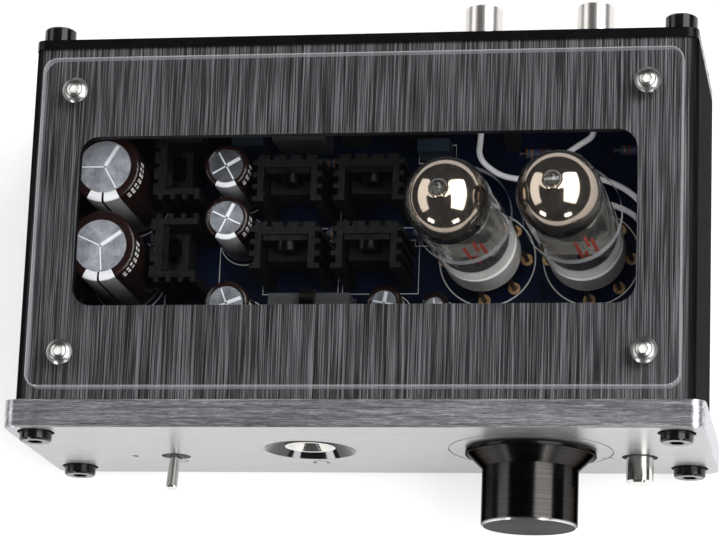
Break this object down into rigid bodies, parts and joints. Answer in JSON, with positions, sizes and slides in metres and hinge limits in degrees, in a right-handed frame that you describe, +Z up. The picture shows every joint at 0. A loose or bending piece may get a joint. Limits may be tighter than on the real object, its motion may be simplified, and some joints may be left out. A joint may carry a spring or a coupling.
{
  "type": "tube headphone amplifier",
  "caption": "Small desktop tube headphone amplifier: metal case, clear top window over the circuit board, exposed miniature tubes, volume knob, toggle, push button.",
  "frame": {"origin": "under the middle of the whole amplifier's box, on the surface its feet stand on", "axes": "+X to the right seen from the front, +Y to the back, +Z up; the front panel faces -Y"},
  "size_m": [0.15, 0.1168, 0.0781],
  "materials": {
    "case_anodised": "black-grey anodised, brushed",
    "rear_anodised": "black anodised",
    "front_aluminium": "brushed, clear anodised",
    "clear_acrylic": "clear acrylic, polished edges",
    "stainless_screw": "stainless",
    "black_screw": "black oxide",
    "foot_rubber": "matt",
    "board_laminate": "dark blue solder mask on glass-fibre laminate",
    "gold_plate": "gold plated",
    "sink_anodised": "black anodised extrusion",
    "device_epoxy": "moulded epoxy",
    "tinned_copper": "tinned",
    "capacitor_can": "drawn aluminium",
    "capacitor_sleeve": "shrunk sleeve, maroon with a pale stripe",
    "film_case": "moulded case",
    "resistor_lacquer": "lacquered, colour bands",
    "tube_glass": "clear glass, silvered dome",
    "anode_nickel": "greyed nickel",
    "mica": "mica, translucent",
    "support_wire": "nickel wire",
    "socket_ceramic": "white glazed ceramic",
    "pot_case": "moulded, metal front",
    "shaft_steel": "turned",
    "knob_anodised": "black anodised, turned; bright end face",
    "nickel_plate": "nickel plated",
    "switch_case": "moulded",
    "plunger_plastic": "moulded acetal",
    "bezel_gloss": "gloss black",
    "led_lens": "clear blue lens",
    "rca_insulator": "moulded",
    "contact_gold": "gold plated",
    "wire_insulation": "white insulation"
  },
  "bodies": {
    "chassis": {"case_body": "case_anodised", "rear_panel": "rear_anodised", "front_panel": "front_aluminium", "window_cover": "clear_acrylic", "window_cover_screws": "stainless_screw", "transistor_screws": "stainless_screw", "front_panel_screws": "black_screw", "rear_panel_screws": "black_screw", "rubber_feet": "foot_rubber", "main_board": "board_laminate", "board_eyelets": "gold_plate", "heat_sinks": "sink_anodised", "transistor_bodies": "device_epoxy", "integrated_circuits": "device_epoxy", "transistor_tabs": "tinned_copper", "headphone_jack_contacts": "tinned_copper", "left_socket_contacts": "tinned_copper", "right_socket_contacts": "tinned_copper", "left_tube_pins": "tinned_copper", "right_tube_pins": "tinned_copper", "reservoir_capacitor_cans": "capacitor_can", "filter_capacitor_cans": "capacitor_can", "reservoir_capacitor_sleeves": "capacitor_sleeve", "filter_capacitor_sleeves": "capacitor_sleeve", "film_capacitors": "film_case", "resistors": "resistor_lacquer", "left_tube_envelope": "tube_glass", "right_tube_envelope": "tube_glass", "left_tube_anode": "anode_nickel", "right_tube_anode": "anode_nickel", "left_tube_micas": "mica", "right_tube_micas": "mica", "left_tube_supports": "support_wire", "right_tube_supports": "support_wire", "left_socket_ceramic": "socket_ceramic", "right_socket_ceramic": "socket_ceramic", "potentiometer_body": "pot_case", "power_switch_bushing": "nickel_plate", "rca_shells": "nickel_plate", "rca_nuts": "nickel_plate", "usb_socket_shell": "nickel_plate", "headphone_jack_ferrule": "nickel_plate", "power_switch_body": "switch_case", "source_switch_body": "switch_case", "headphone_jack_body": "switch_case", "power_inlet_body": "switch_case", "usb_socket_insert": "plunger_plastic", "headphone_jack_bezel": "bezel_gloss", "power_led": "led_lens", "rca_insulators": "rca_insulator", "rca_contacts": "contact_gold", "power_inlet_pin": "contact_gold", "signal_wires": "wire_insulation"},
    "volume_control": {"volume_shaft": "shaft_steel", "volume_knob": "knob_anodised", "knob_grub_screw": "black_screw"},
    "power_lever": {"power_toggle": "nickel_plate"},
    "source_control": {"source_button": "nickel_plate", "source_switch_plunger": "plunger_plastic"}
  },
  "joints": [
    {"name": "volume_turn", "type": "hinge", "parent": "chassis", "child": "volume_control", "pos_m": [0.03615, -0.04175, 0.0294], "axis": [0, 1, 0], "range_deg": [0, 300]},
    {"name": "power_throw", "type": "hinge", "parent": "chassis", "child": "power_lever", "pos_m": [-0.0437, -0.03675, 0.0222], "axis": [1, 0, 0], "range_deg": [0, 26]},
    {"name": "source_press", "type": "slide", "parent": "chassis", "child": "source_control", "axis": [0, 1, 0], "range_m": [0, 0.0025], "stiffness_N_per_m": 600}
  ]
}
